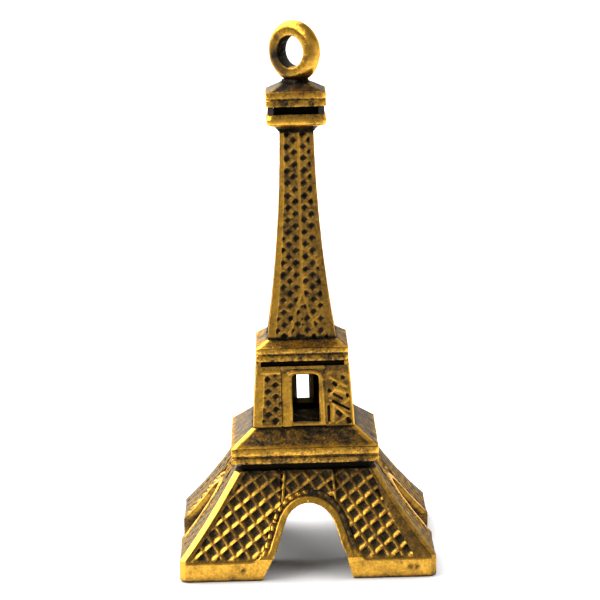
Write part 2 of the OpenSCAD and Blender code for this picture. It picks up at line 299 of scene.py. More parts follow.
def turned_profile(name, node, profile, material, slot, radius=0.1, per_side=60, flank=1.0, **options):
    """A square moulded piece. The profile lists (half width, height, rubbing, rubbing at the corners),
    and callers put painted shade into these levels too. Its left and right faces are rubbed flank
    times as much as the front and back."""
    rows, wear_and_light = [], []
    for hw, z, rub, *corner in profile:
        loop = square_loop(hw, z, min(radius, hw * 0.45), per_side)
        rows.append(loop)
        rubbed = np.full(len(loop), rub)
        off_x, off_y = np.abs(loop[:, X]), np.abs(loop[:, Y])
        if corner:
            near = smooth(hw - radius - 0.12, hw - radius * 0.7, np.minimum(off_x, off_y))
            rubbed = rub + (corner[0] - rub) * near
        sideways = smooth(-0.02, 0.02, off_x - off_y - 0.5 * radius)
        wear_and_light.append(rubbed * (1 + (flank - 1) * sideways))
    return make_piece(name, node, rows, wear_and_light, material, slot, **options)


def moulding(hw, z0, z1, bulge, wear_and_light, steps=9, power=0.45, corner_extra=0.3):
    """Rounded moulding profile between two heights, standing bulge out of its back."""
    out = []
    for k in range(steps):
        a = math.pi * k / (steps - 1)
        z = z0 + (z1 - z0) * (0.5 - 0.5 * math.cos(a))
        out.append((hw - bulge + bulge * math.sin(a) ** power, z, wear_and_light, wear_and_light + corner_extra))
    return out


# ---- Lattice relief ----

# Slopes of the bars that rise and that fall to the right, their pitch, and the place of one pit
rise = math.radians(34)
fall = math.radians(53)
bar_pitch = 0.505
pit_origin = (0.12, 3.73)
# Section of a rising bar, in parts of the pitch: its crest, and how far its two slopes reach
crest = 0.56
gentle_reach = 0.34
steep_reach = 0.2
# Depths of the ground, of the tops of the bars, and of the border round a leg's panel
ground_depth = 0.17
bar_level = 0.02
border_depth = 0.04
# Height where that border starts, over the plinth
border_z = 0.8

# By side, in the order of SIDES: depth of the relief, wear of the plinth and width of the plain
# edge. The left and right faces are shallower and duller.
side_dull = 0.4
relief_strength = (1.0, 0.5, 0.9, 0.5)
plinth_wear = (0.88, side_dull, 0.88, side_dull)
plain_edge = (0.46, 0.75, 0.46, 0.75)


def lattice(x, z):
    """Heights from 0, the ground, to 1 for the rising and the falling bars, and how near each
    point of a rising bar is to the middle of its stretch between two crossings. The rising bars
    slope gently to their upper side and steeply to their lower side."""
    cross = bar_pitch / math.sin(rise + fall)
    ax, az = cross * math.cos(rise), cross * math.sin(rise)
    bx, bz = cross * math.cos(fall), -cross * math.sin(fall)
    det = ax * bz - az * bx
    dx, dz = x - pit_origin[0], z - pit_origin[1]
    u = (dx * bz - dz * bx) / det
    v = (ax * dz - az * dx) / det
    below_crest = v - np.floor(v) - crest
    falling = np.abs(u - np.floor(u) - 0.5)
    upper = 1 - np.clip(-below_crest / gentle_reach, 0, 1)
    lower = 1 - smooth(0.0, steep_reach, below_crest)
    up = np.where(below_crest < 0, upper, lower)
    down = 1 - smooth(0.04, 0.32, falling)
    return up, down, smooth(0.08, 0.36, falling)


def bars_at(x, z, face):
    """Height and rubbing of the lattice bars on a face. They sink towards the top, and are painted
    darker there as shade under the first platform. The middles of the rising bars are painted
    brighter, as glints.
    """
    up, down, middle = lattice(x + (cast_shift(x, z) if face == 0 else 0), z)
    # Painted shade: the bars darken towards the top, under the first platform
    painted_platform_shade = (1 - 0.85 * smooth(4.15, 4.48, z)) * (1 - 0.2 * smooth(2.8, 3.8, z))
    uneven = 1 + 0.35 * grain(np.stack([x, np.full_like(x, face * 9.0), z], -1), 0.3, 7)
    # Painted highlight: the middles of the rising bars are painted brighter as glints and stand a little
    # proud; the glints fade out high up as painted shade under the platform
    proud = middle * (1 - 0.8 * smooth(3.3, 3.9, z))
    height = np.maximum(up * (0.85 + 0.15 * proud), 0.6 * down) * (1 - 0.45 * smooth(4.2, 4.5, z))
    wear_and_light = 0.16 + painted_platform_shade * uneven * np.maximum((0.4 + 0.74 * proud) * smooth(0.12, 0.6, up), 0.44 * down)
    return height, wear_and_light


def pocks(x, z):
    """Casting flaws in the front of the plinths, 1 at the bottom of each."""
    total = np.zeros(np.shape(x))
    uneven = 1 + 0.5 * grain(np.stack([x, np.zeros_like(x), z], -1), 0.14, 12)
    for px, pz, radius in ((-2.95, 0.5, 0.11), (4.25, 0.62, 0.12), (4.66, 0.5, 0.16), (4.95, 0.5, 0.12)):
        away = np.hypot((x - px) * 0.7, z - pz) * uneven
        total = np.maximum(total, 1 - smooth(radius * 0.2, radius, away))
    return total


def leg_relief(x, z, face):
    """Depth and wear of a leg face at x across the face and height z."""
    edge = leg_w(z) - np.abs(x)
    height, bar_wear_and_light = bars_at(x, z, face)
    strength = relief_strength[face]
    above = (z - arch_z) * math.cos(arch_lean) - np.abs(x) * math.sin(arch_lean)
    ring = np.hypot(x, z - arch_z)
    leaning = np.abs(x) * math.cos(arch_lean) + (z - arch_z) * math.sin(arch_lean)
    arch = np.where(above > 0, ring, leaning) - band_outer
    fillet = 0.4
    rise_in, arch_in = fillet - (z - border_z), fillet - arch
    in_corner = (rise_in > 0) & (arch_in > 0)
    rounded = fillet - np.hypot(rise_in, arch_in)
    inside = np.where(in_corner, rounded, np.minimum(z - border_z, arch + 0.06))
    off_arch = smooth(0.0, 0.1, inside)
    off_spandrel = smooth(0.0, 0.05, np.abs(x) - spandrel_hw)
    beside_crown = z > band_top_z - 0.8
    off_arch = np.where(beside_crown, np.minimum(off_arch, off_spandrel), off_arch)
    front_right = (x > 0) & (face == 0)
    strip = np.where(front_right, 0.14, 0.26)
    plain = np.where(front_right, 0.38 + 0.2 * np.maximum(4 - z, 0), plain_edge[face])
    over_plinth = smooth(border_z, border_z + 0.16, z)
    border = smooth(strip, strip + 0.06, edge) * over_plinth * off_arch
    panel = smooth(plain, plain + 0.1, edge) * smooth(0.92, 1.12, z) * off_arch
    sunk = ground_depth - border_depth - (ground_depth - bar_level) * height
    depth = border_depth * border + sunk * panel
    if face == 0:
        depth = depth + 0.05 * pocks(x, z)
    wear_and_light = 0.97 - 0.58 * border - 0.14 * (1 - over_plinth)
    if face % 2:
        wear_and_light = side_dull - 0.14 * border
        bar_wear_and_light = 0.14 + 0.3 * bar_wear_and_light
    wear_and_light = wear_and_light * (1 - panel) + panel * bar_wear_and_light
    if face == 0:
        wear_and_light = wear_and_light - 0.5 * pocks(x, z)
    return depth * strength, wear_and_light


def make_leg(side):
    """Leg front-left before turning: a column with its foot, cut by both arches and their bands.
    The row at the plinth's top comes twice, without and with the seat of the bands."""
    corner_r = 0.25
    ease = 0.12
    steps = 7
    # Hips are rubbed bright; the front right leg's hip, on the side away from the light, is painted duller
    # as shade
    hip_wear_and_light = 0.62 if LEGS[side] == "front_right" else 1.15
    columns = int(3.9 / GRID)
    foot = np.array([0.0, 0.02, 0.06, 0.12, 0.3, 0.5, 0.7])
    body = np.arange(0.76, leg_top_z - GRID / 2, GRID)
    heights = [(z, False) for z in foot]
    heights += [(z, z > plinth_h) for z in body if abs(z - plinth_h) > 0.01]
    heights += [(plinth_h, False), (plinth_h, True), (leg_top_z, True)]
    heights.sort()
    rows, wear_and_light_rows = [], []
    angles = np.linspace(0, math.pi / 2, 8)[1:-1]
    bevel = np.stack([1 - np.sin(angles) ** 1.7, 1 - np.cos(angles) ** 1.7], -1)
    for z, banded in heights:
        inset = ease - math.sqrt(ease ** 2 - (ease - z) ** 2) if z < ease else 0.0
        w = float(leg_w(z)) - inset
        opening = max(arch_edge(arch_r, z) if z < arch_z else 0.0, spandrel_hw)
        outer = max(arch_edge(band_outer, z) if z < arch_z + band_outer else 0.0, spandrel_hw)
        t = np.linspace(0, 1, columns)
        face = -w + corner_r + t * (w - corner_r - outer)
        halves = []
        for sign in (1, -1):
            on_face = side if sign > 0 else (side + 3) % 4
            depth, wear_and_light = leg_relief(sign * face, np.full(columns, z), on_face)
            front = np.stack([face, -w + depth], -1)
            step = np.linspace(-outer, -opening, steps)
            back = -w + (band_t if banded else 0.0)
            ledge = np.stack([step, np.full(steps, back)], -1)
            inner = np.stack([np.full(steps, -opening), np.linspace(back, -opening, steps)], -1)[1:]
            rubbed = np.concatenate([wear_and_light, np.full(steps, plinth_wear[on_face]), np.full(steps - 1, 0.1)])
            halves.append((np.concatenate([front, ledge, inner]), rubbed))
        front, front_wear = halves[0]
        flank, flank_wear = halves[1]
        corner = corner_r * bevel - w
        loop = np.concatenate([front, flank[::-1][1:, ::-1], corner[::-1]])
        wear_and_light = np.concatenate([front_wear, flank_wear[::-1][1:], np.full(len(angles), hip_wear_and_light)])
        rows.append(np.concatenate([loop, np.full((len(loop), 1), z)], -1))
        wear_and_light_rows.append(wear_and_light)
    make_piece("cast_leg_" + LEGS[side], "leg_" + LEGS[side], rows, wear_and_light_rows,
               lattice_gold, "lattice_gold", side=side, grime=0.15, seam=spandrel_hw)


def make_arch(side):
    """Band round an arch, on the sloping face: a smooth inner rim, and an outer one with a chain
    of beads that fades out past the crown. The band is painted brighter on the left, with painted
    glints on the beads there."""
    radii = np.linspace(arch_r, band_outer, 26)
    across = (radii - arch_r) / band_w
    # Which of the radii runs through the beads, in the middle of the outer rim
    on_beads = 20
    leg_steps, crown_steps = 34, 90
    stations = [("leg", 1, 1 - k / leg_steps) for k in range(leg_steps)]
    stations += [("crown", 0, k / crown_steps) for k in range(crown_steps + 1)]
    stations += [("leg", -1, (k + 1) / leg_steps) for k in range(leg_steps)]
    rows, wear_and_light_rows = [], []
    for kind, hand, t in stations:
        if kind == "leg":
            start_x = radii * math.cos(arch_lean)
            start_z = arch_z + radii * math.sin(arch_lean)
            reach = t * (start_z - plinth_h) / math.cos(arch_lean)
            x = hand * (start_x + reach * math.sin(arch_lean))
            z = start_z - reach * math.cos(arch_lean)
            along = reach[on_beads]
        else:
            a = arch_lean + t * (math.pi - 2 * arch_lean)
            x = radii * math.cos(a)
            z = arch_z + radii * math.sin(a)
            along = radii[on_beads] * a
        spot = np.array([x[on_beads], side * 5.0, z[on_beads]])
        bead = math.cos(2 * math.pi * along / bead_pitch) + 0.7 * float(grain(spot, 0.4, 5))
        bead = float(smooth(-0.7, 0.4, bead))
        # Painted highlight: the band and its rims are painted brighter on the left, towards the light, and
        # the beads there get painted glints
        left = 1 - float(smooth(-0.6, 0.3, x[-1]))
        foot = float(smooth(plinth_h + 0.02, plinth_h + 0.4, z[0]))
        waver = 0.5 + 0.5 * float(grain(np.array([x[0], side * 5.0 + 2, z[0]]), 0.38, 6))
        x = x - np.sign(x) * 0.07 * waver * (1 - across) ** 2 * foot
        flat = smooth(-0.14, 0.08, across) * (1 - smooth(0.48, 0.62, across))
        rim = smooth(0.56, 0.82, across) * (1 - smooth(0.86, 1.1, across)) * (0.35 + 0.65 * left)
        groove = 0.1 * foot
        depth = groove * (1 - flat) - (0.03 + 0.11 * bead) * rim * foot
        wear_and_light = 0.22 + (0.62 + 0.2 * left) * flat + (0.1 + left * (0.15 + 1.1 * bead)) * rim
        wear_and_light = wear_and_light + (plinth_wear[side] - wear_and_light) * (1 - foot)
        y = -leg_w(z)
        front = np.stack([x, y + depth, z], -1)
        back = np.stack([x[::-5], y[::-5] + band_t, z[::-5]], -1)
        inner = np.linspace(front[0], back[-1], 5)[1:-1][::-1]
        rows.append(np.concatenate([front, back, inner]))
        # The band's inner wall is darker deeper into the arch, as patina and painted shade
        wear_and_light_rows.append(np.concatenate([wear_and_light, np.full(len(back), -0.2), (-0.1, 0.25, 0.8)]))
    make_piece("cast_arch_" + SIDES[side], "arch_" + SIDES[side], rows, wear_and_light_rows,
               lattice_gold, "bright_gold", side=side)


def make_spandrel(side):
    """Lattice panel above an arch, with a rib at each end."""
    columns = int(2 * spandrel_hw / GRID)
    x = np.linspace(-spandrel_hw, spandrel_hw, columns)
    foot = arch_z + np.sqrt(band_outer ** 2 - x ** 2)
    rows, wear_and_light_rows = [], []
    for t in np.linspace(0, 1, 40):
        z = foot + t * (leg_top_z - foot)
        height, wear_and_light = bars_at(x, z, side)
        left = 1 - smooth(0.05, 0.12, np.abs(x + 1.2 - 0.1 * (z - 3.4)))
        right = 1 - smooth(0.05, 0.12, np.abs(x - 1.22 + 0.11 * (z - 3.4)))
        rib = np.maximum(left, right)
        depth = ground_depth - (ground_depth - bar_level) * np.maximum(height, rib)
        # Painted shade: the ribs darken towards the top, under the first platform
        wear_and_light = np.maximum(wear_and_light, 0.62 * rib * (1 - 0.5 * smooth(4.2, 4.5, z)))
        y = -leg_w(z)
        front = np.stack([x, y + depth, z], -1)
        back = np.stack([x[::-8], y[::-8] + band_t, z[::-8]], -1)
        rows.append(np.concatenate([front, back]))
        wear_and_light_rows.append(np.concatenate([wear_and_light, np.full(len(back), 0.0)]))
    make_piece("cast_spandrel_" + SIDES[side], "spandrel_" + SIDES[side], rows, wear_and_light_rows,
               lattice_gold, "lattice_gold", side=side, grime=0.15, seam=spandrel_hw)


# ---- Middle stage ----

def bead_height(x, z, points, half):
    """Height, from 0 to 1, of a rounded bead half wide along a line of points."""
    nearest = np.full(np.shape(x), 1e9)
    for (x0, z0), (x1, z1) in zip(points, points[1:]):
        dx, dz = x1 - x0, z1 - z0
        along = np.clip(((x - x0) * dx + (z - z0) * dz) / (dx * dx + dz * dz), 0, 1)
        nearest = np.minimum(nearest, np.hypot(x - x0 - along * dx, z - z0 - along * dz))
    return 1 - smooth(half * 0.35, half * 1.3, nearest)


def weave(x, z, x0, z0, dx, dz):
    """Height, from 0 to 1, of crossed bars round diamond pits. One pit is at (x0, z0), its column
    goes on every 2 dz, and the next column, dx away, is half a step lower."""
    p, q = (x - x0) / dx, (z - z0) / dz
    u, v = (p + q) / 2, (p - q) / 2
    falling = np.abs(u - np.floor(u) - 0.5)
    rising = np.abs(v - np.floor(v) - 0.5)
    return 1 - smooth(0.04, 0.46, np.minimum(falling, rising)) ** 1.6


def wavering(x, z, seed):
    """The same points shifted a little, so that a pattern drawn on them looks hand cut."""
    points = np.stack([x, np.zeros_like(x), z], -1)
    return x + 0.05 * grain(points, 0.45, seed), z + 0.04 * grain(points, 0.4, seed + 1)


# Bars of the irregular panel: line of points, half width, height
irregular_bars = (
    ([(1.36, 7.42), (2.05, 6.8)], 0.1, 1.0), ([(1.2, 7.6), (2.2, 6.95)], 0.05, 0.5),
    ([(1.45, 6.42), (1.95, 6.72)], 0.06, 0.7), ([(1.5, 8.12), (2.1, 7.85)], 0.12, 0.75),
    ([(1.3, 8.6), (2.0, 8.2)], 0.08, 0.65), ([(1.2, 7.75), (1.75, 8.4)], 0.07, 0.6),
    ([(1.75, 7.35), (2.1, 7.6)], 0.07, 0.6), ([(1.3, 6.3), (1.32, 7.3)], 0.11, 0.62),
)
# Pits and slots of the irregular panel: line of points, half width
irregular_pits = (
    ([(1.2, 8.0), (1.24, 7.96)], 0.07), ([(1.42, 8.33), (1.52, 8.22)], 0.06),
    ([(1.83, 8.6), (1.86, 8.58)], 0.08), ([(1.42, 7.82), (1.8, 7.6)], 0.045),
    ([(1.56, 6.98), (1.7, 6.82)], 0.08), ([(1.16, 6.6), (1.16, 7.25)], 0.05),
    ([(2.02, 6.65), (2.1, 6.5)], 0.07), ([(1.35, 7.5), (2.1, 7.1)], 0.035),
    ([(2.03, 7.8), (2.05, 7.72)], 0.05),
)


def post_relief(t, z, irregular):
    """Depth and wear of a corner post's face, at t from the middle of the face. The panel ends at
    the window's head, under a plain rail."""
    edge = mid_w(z) - t
    inside = smooth(mid_z + 0.06, mid_z + 0.14, z) * (1 - smooth(window_head, window_head + 0.06, z))
    rail = bead_height(t, z, [(1.1, 8.9), (1.85, 8.9)], 0.09) * (0.4 if irregular else 1.0)
    if irregular:
        panel = smooth(0.13, 0.2, edge) * inside
        bars = np.zeros(np.shape(z))
        for points, half, proud in irregular_bars:
            bars = np.maximum(bars, proud * bead_height(t, z, points, half))
        pits = np.zeros(np.shape(z))
        for points, half in irregular_pits:
            pits = np.maximum(pits, bead_height(t, z, points, half))
        height = np.clip(0.55 + 0.45 * bars - pits, 0, 1)
        depth = panel * (0.14 - 0.12 * height)
        wear_and_light = (1 - panel) * 0.62 + panel * (0.54 * smooth(0.0, 0.5, height) + 0.34 * bars)
    else:
        panel = smooth(0.42, 0.48, edge) * smooth(frame_hw, frame_hw + 0.05, t) * inside
        bars = weave(*wavering(t, z, 11), x0=1.63, z0=6.9, dx=0.35, dz=0.2825)
        depth = panel * (0.15 - 0.12 * bars)
        wear_and_light = (1 - panel) * 0.84 + panel * (0.1 + 0.4 * bars)
    depth = depth + 0.03 * (1 - rail) * smooth(window_head, window_head + 0.06, z)
    wear_and_light = wear_and_light - 0.3 * (1 - rail) * smooth(window_head, window_head + 0.08, z)
    return depth, wear_and_light


def make_mid_post(side):
    """Corner post front-left before turning, with a relief panel on both outer faces. The panel is
    irregular on the front's right post, and again on the left side's rear post."""
    corner_r = 0.1
    columns = 36
    steps = 5
    rows, wear_and_light_rows = [], []
    angles = np.linspace(0, math.pi / 2, 7)[1:-1]
    for z in np.linspace(mid_z, mid_top_z, 76):
        w = float(mid_w(z))
        face = np.linspace(-w + corner_r, -frame_hw, columns)
        halves = []
        for sign in (1, -1):
            irregular = (side == 1 and sign == -1) or (side == 3 and sign == 1)
            depth, wear_and_light = post_relief(-face, np.full(columns, z), irregular)
            front = np.stack([face, -w + depth], -1)
            reveal = np.linspace(-w, -frame_hw, steps + 1)[1:]
            inner = np.stack([np.full(steps, -frame_hw), reveal], -1)
            halves.append((np.concatenate([front, inner]), np.concatenate([wear_and_light, np.full(steps, -0.3)])))
        front, front_wear = halves[0]
        flank, flank_wear = halves[1]
        corner = np.stack([-w + corner_r - corner_r * np.sin(angles),
                           -w + corner_r - corner_r * np.cos(angles)], -1)
        loop = np.concatenate([front, flank[::-1][1:, ::-1], corner[::-1]])
        wear_and_light = np.concatenate([front_wear, flank_wear[::-1][1:], np.full(len(angles), 1.0)])
        rows.append(np.concatenate([loop, np.full((len(loop), 1), z)], -1))
        wear_and_light_rows.append(wear_and_light)
    make_piece("cast_mid_post_" + LEGS[side], "mid_post_" + LEGS[side], rows, wear_and_light_rows,
               lattice_gold, "lattice_gold", side=side, grime=0.2, seam=frame_hw)


def window_relief(x, z, left, right):
    """Depth and wear of a window frame: beads on a lower ground."""
    sill, head = 6.44, 8.88
    jamb_l, jamb_r = (left - frame_hw) / 2, (right + frame_hw) / 2 - 0.02
    beads = bead_height(x, z, [(jamb_l, 8.6), (jamb_l + 0.02, 6.45)], 0.26)
    beads = np.maximum(beads, bead_height(x, z, [(jamb_r - 0.03, 8.55), (jamb_r + 0.04, 6.45)], 0.12))
    top = [(left - 0.15, head - 0.05), (left + 0.05, head), (right - 0.2, head),
           (right + 0.05, head - 0.1), (jamb_r - 0.03, 8.55)]
    beads = np.maximum(beads, bead_height(x, z, top, 0.1))
    ledge = bead_height(x, z, [(-frame_hw, sill), (frame_hw, sill)], 0.09)
    beads = np.maximum(beads, 0.8 * ledge)
    band = smooth(9.0, 9.05, z)
    depth = 0.07 * (1 - beads) * (1 - band) + 0.03 * band
    wear_and_light = 0.42 + 0.43 * beads + 0.15 * band
    return depth, wear_and_light


def make_window(side, left, right, sill):
    """Window frame round an opening with rounded upper corners. The back one's reveal is painted dark, as
    shade inside the stage.
    """
    head = window_head
    ease = 0.14
    arcs = []
    for cx, turn in ((right - ease, 0), (left + ease, math.pi / 2)):
        arcs.append([(cx + ease * math.cos(a + turn), head - ease + ease * math.sin(a + turn))
                     for a in np.linspace(0, math.pi / 2, 7)])
    path = [(right, z) for z in np.linspace(sill, head - ease, 44)[:-1]]
    path += arcs[0] + [(x, head) for x in np.linspace(right - ease, left + ease, 16)[1:-1]] + arcs[1]
    path += [(left, z) for z in np.linspace(head - ease, sill, 44)[1:]]
    path += [(x, sill) for x in np.linspace(left, right, 22)[1:-1]]
    rows, wear_and_light_rows = [], []
    spread = np.linspace(0, 1, 18)
    for x0, z0 in path:
        u = (x0 - (left + right) / 2) / ((right - left) / 2)
        v = (z0 - (sill + head) / 2) / ((head - sill) / 2)
        big = max(abs(u), abs(v))
        x1 = u / big * frame_hw
        z1 = (mid_z + mid_top_z) / 2 + v / big * (mid_top_z - mid_z) / 2
        x = x0 + spread * (x1 - x0)
        z = z0 + spread * (z1 - z0)
        depth, wear_and_light = window_relief(x, z, left, right)
        y = -mid_w(z)
        front = np.stack([x, y + depth, z], -1)
        thin = slice(None, None, -6)
        back = np.stack([x[thin], np.full(len(x[thin]), frame_t - mid_top_hw), z[thin]], -1)
        inner = np.linspace(front[0], back[-1], 4)[1:-1][::-1]
        rows.append(np.concatenate([front, back, inner]))
        # Painted shade: the back window's reveal is made dark, as are the frames' inner faces
        if side == 2:
            wear_and_light = np.where(spread < 0.12, -0.6, wear_and_light)
        wear_and_light_rows.append(np.concatenate([wear_and_light, np.full(len(back), -0.6), (-0.6, -0.4)]))
    make_piece("cast_window_" + SIDES[side], "window_" + SIDES[side], rows, wear_and_light_rows,
               lattice_gold, "bright_gold", side=side, ring=True, grime=0.2, seam=frame_hw)


# ---- Spire ----

def spire_relief(x, z):
    """Depth and rubbing of a spire face: corner strips, a centre rib that forks, and pits. Its left
    strip is painted brighter than its right as a highlight, and its foot and top are painted dark
    as shade against the roof and under the flange.
    """
    w = spire_slope(z)
    edge = w - np.abs(x)
    strip = 0.04 + 0.2 * w
    rib_x, fork_z = 0.06, 12.6
    spread = 0.3 * np.maximum(fork_z - z, 0)
    off_rib = np.abs(x - rib_x)
    rib = 1 - smooth(0.04, 0.11, np.where(z > fork_z, off_rib, np.abs(off_rib - spread)))
    pit_x, pit_z, column_gap, half_step = 0.21, 12.98, 0.32, 0.2835
    moved_x, moved_z = wavering(x, z, 21)
    right = weave(moved_x, moved_z, rib_x + pit_x, pit_z, column_gap, half_step)
    left = weave(moved_x, moved_z, rib_x - pit_x, pit_z - half_step, column_gap, half_step)
    bars = np.where(x > rib_x, right, left)
    uneven = 1 + 0.5 * grain(np.stack([x, np.zeros_like(x), z], -1), 0.19, 9)
    panel = smooth(strip, strip + 0.07, edge)
    ground = panel * (1 - rib)
    # Painted shade at the foot, where the roof meets the spire
    foot = smooth(spire_z + 0.05, spire_z + 0.14, z)
    depth = ground * (0.14 - 0.11 * bars)
    # Painted highlight: the left strip is brighter than the right
    plain = np.where(x < 0, 0.74, 0.5)
    wear_and_light = (1 - panel) * plain + panel * (rib * 0.68 + (1 - rib) * (0.12 + 0.38 * uneven * bars))
    # Painted shade at the top, under the cabin's flange
    return depth, wear_and_light * foot * (1 - 0.9 * smooth(spire_top_z - 0.12, spire_top_z, z))


def make_spire_panel(side):
    """Curved lattice panel of the spire, mitred to its neighbours."""
    corner_r = 0.1
    columns = 74
    back_columns = 8
    t = np.linspace(-1, 1, columns)
    rows, wear_and_light_rows = [], []
    for z in np.linspace(spire_z, spire_top_z, int((spire_top_z - spire_z) / GRID)):
        w = float(spire_slope(z))
        mitre = w - corner_r + corner_r * math.sqrt(0.5)
        x = t * mitre
        over = np.maximum(np.abs(x) - (w - corner_r), 0)
        round_off = corner_r - np.sqrt(corner_r ** 2 - over ** 2)
        depth, wear_and_light = spire_relief(x, np.full(columns, z))
        y = -w + np.maximum(depth, round_off)
        front = np.stack([x, y], -1)
        inner = w - panel_t
        back = np.stack([np.linspace(inner, -inner, back_columns), np.full(back_columns, -inner)], -1)
        loop = np.concatenate([front, back])
        rows.append(np.concatenate([loop, np.full((len(loop), 1), z)], -1))
        wear_and_light_rows.append(np.concatenate([wear_and_light, np.zeros(back_columns)]))
    make_piece("cast_spire_panel_" + SIDES[side], "spire_panel_" + SIDES[side], rows, wear_and_light_rows,
               spire_gold, "lattice_gold", side=side, grime=0.12)


# ---- Platforms, roofs, collars and cabin ----

def make_platform(node, z0, z1, hw, lower_h, per_side, radius, groove=0.05, groove_w=0.08):
    """Two mouldings with a narrow groove between them: the lower one, lower_h high, is duller."""
    split = z0 + lower_h
    profile = [(hw - 0.3, z0, -0.2, -0.2), (hw - 0.08, z0, 0.4, 0.6)]
    profile += moulding(hw, z0, split, groove, 0.54)
    profile += [(hw - groove - 0.01, split + groove_w / 2, 0.2, 0.4)]
    profile += moulding(hw, split + groove_w, z1, groove, 0.7)
    profile += [(hw - 0.09, z1, 0.7, 1.0)]
    turned_profile("cast_" + node, node, profile, moulding_gold, "bright_gold",
                   radius=radius, per_side=per_side)


def make_roof(node, z0, z1, hw1, rubs, per_side, radius, steps=20):
    """Sloping skirt, duller across the slope than at its lower edge, and painted dark at its top as
    shade where the part above meets it. rubs says how rubbed its lower edge, its middle and its hips
    are."""
    low_wear, mid_wear, hip_wear_and_light = rubs
    hw0 = high(node, X)
    profile = []
    for t in np.linspace(0, 1, steps):
        rub = mid_wear + (low_wear - mid_wear) * float(1 - smooth(0.0, 0.24, t))
        # Painted shade: the slope darkens near its top, where the part above meets it
        dark = float(smooth(0.8, 1.0, t))
        hw = hw0 + t * (hw1 - hw0)
        profile.append((hw, z0 + t * (z1 - z0), rub - 0.45 * dark, hip_wear_and_light - 0.3 * dark))
    profile.append((hw1 - 0.05, z1, -0.3, -0.3))
    profile.append((hw1 - 0.5, z1, -0.6, -0.6))
    turned_profile("cast_" + node, node, profile, roof_gold, "roof_gold",
                   radius=radius, per_side=per_side, flank=0.6)


def make_upper_collar():
    """Groove under the second platform, dark with patina and painted shade, closed at each corner by a
    rubbed block.
    """
    groove_hw = mid_top_hw - 0.14
    block_hw = high("upper_collar", X) - 0.05
    block_in = block_hw - 0.2
    corner = [(block_in, -groove_hw), (block_in, -block_hw), (block_hw, -block_hw),
              (block_hw, -block_in), (groove_hw, -block_in)]
    rows = []
    for z in (mid_top_z, deck2_z):
        block = np.array([(x, y, z) for x, y in corner])
        rows.append(np.concatenate([turned(block, k) for k in range(4)]))
    wear_and_light = [(-0.5, 0.5, 0.8, 0.5, -0.5) * 4] * 2
    make_piece("cast_upper_collar", "upper_collar", rows, wear_and_light, moulding_gold, "patina", rough=0.005)


def make_core(node, outline, **options):
    """Plain piece between or inside others, near black with patina and painted shade. The outline lists
    (half width, height).
    """
    unrubbed = -0.5
    profile = [(hw, z, unrubbed) for hw, z in outline]
    turned_profile("cast_" + node, node, profile, recess_black, "patina", **options)


def make_cabin_floor():
    """Flange under the cabin: a slope up from the spire, painted dark as shade under the flange, a rubbed
    round edge and a flat top.
    """
    flange_r = 0.24
    profile = [(0.84, spire_top_z, -0.4, -0.4), (0.9, spire_top_z + 0.1, -0.4, -0.4),
               (cabin_hw - 0.36, flange_z - 0.07, 0.1, 0.1)]
    for angle in np.linspace(0.05 * math.pi, 0.5 * math.pi, 8):
        hw = cabin_hw - flange_r + flange_r * math.sin(angle)
        profile.append((hw, flange_z + 0.2 - flange_r * math.cos(angle), 0.9, 1.1))
    profile += [(cabin_hw, flange_edge_z, 0.95, 1.2), (cabin_hw - 0.04, flange_edge_z + 0.07, 0.75, 1.2),
                (cabin_hw - 0.1, cabin_z, 0.45, 0.8), (core_hw, cabin_z, -0.4, -0.4)]
    turned_profile("cast_cabin_floor", "cabin_floor", profile, moulding_gold, "bright_gold",
                   radius=flange_r)


# ---- Hanging loop ----

def make_loop():
    """Cast ring on its neck. The ring's axis is turned from the front towards the left. It is
    rounded outside and nearly square inside, has painted shade on its lower left, and is dark in
    its hole but for a painted glint at the bottom."""
    section, around = 32, 120
    centre_r = (ring_outer + ring_inner) / 2
    half_r = (ring_outer - ring_inner) / 2
    axis = np.array([-math.sin(ring_turn), -math.cos(ring_turn), 0])
    across = np.array([math.cos(ring_turn), -math.sin(ring_turn), 0])
    b = np.linspace(0, 2 * math.pi, section, endpoint=False)
    cb, sb = np.cos(b), np.sin(b)
    power = np.where(cb > 0, 1.25, 0.35)
    r = centre_r + half_r * np.sign(cb) * np.abs(cb) ** power
    s = ring_half_t * np.sign(sb) * np.abs(sb) ** power
    rows, wear_and_light_rows = [], []
    for k in range(around):
        a = 2 * math.pi * k / around
        point = np.outer(r * math.sin(a), across) + np.outer(s, axis)
        point[:, 2] += ring_z + r * math.cos(a)
        rows.append(point)
        hole = 1 - smooth(ring_inner + 0.01, ring_inner + 0.07, r)
        # Painted shade: the ring's faces are darker on the lower left
        lower_left_shade = max(-math.sin(a + 0.5), 0.0) * smooth(-0.9, 0.0, -cb)
        # Painted highlight: a glint at the bottom of the hole
        glint = 1 - float(smooth(-0.98, -0.9, math.cos(a + 0.2)))
        wear_and_light_rows.append(0.9 - 0.62 * lower_left_shade * (1 - hole) - 1.15 * hole * (1 - 0.9 * glint))
    make_piece("cast_ring", "hanging_loop", rows, wear_and_light_rows, ring_gold, "bright_gold", ring=True, rough=0.03)
    profile = []
    top = ring_z - ring_outer + 0.17
    for t in np.linspace(0, 1, 12):
        z = cornice_top_z + 0.02 + t * (top - cornice_top_z - 0.02)
        profile.append((0.45 + 0.19 * (1 - t ** 0.7), z, -0.1))
    neck = turned_profile("cast_neck", "hanging_loop", profile, roof_gold, "bright_gold",
                          radius=0.08, per_side=16)
    neck.data.transform(Matrix.Rotation(math.radians(45), 4, "Z"))


# ---- Materials ----

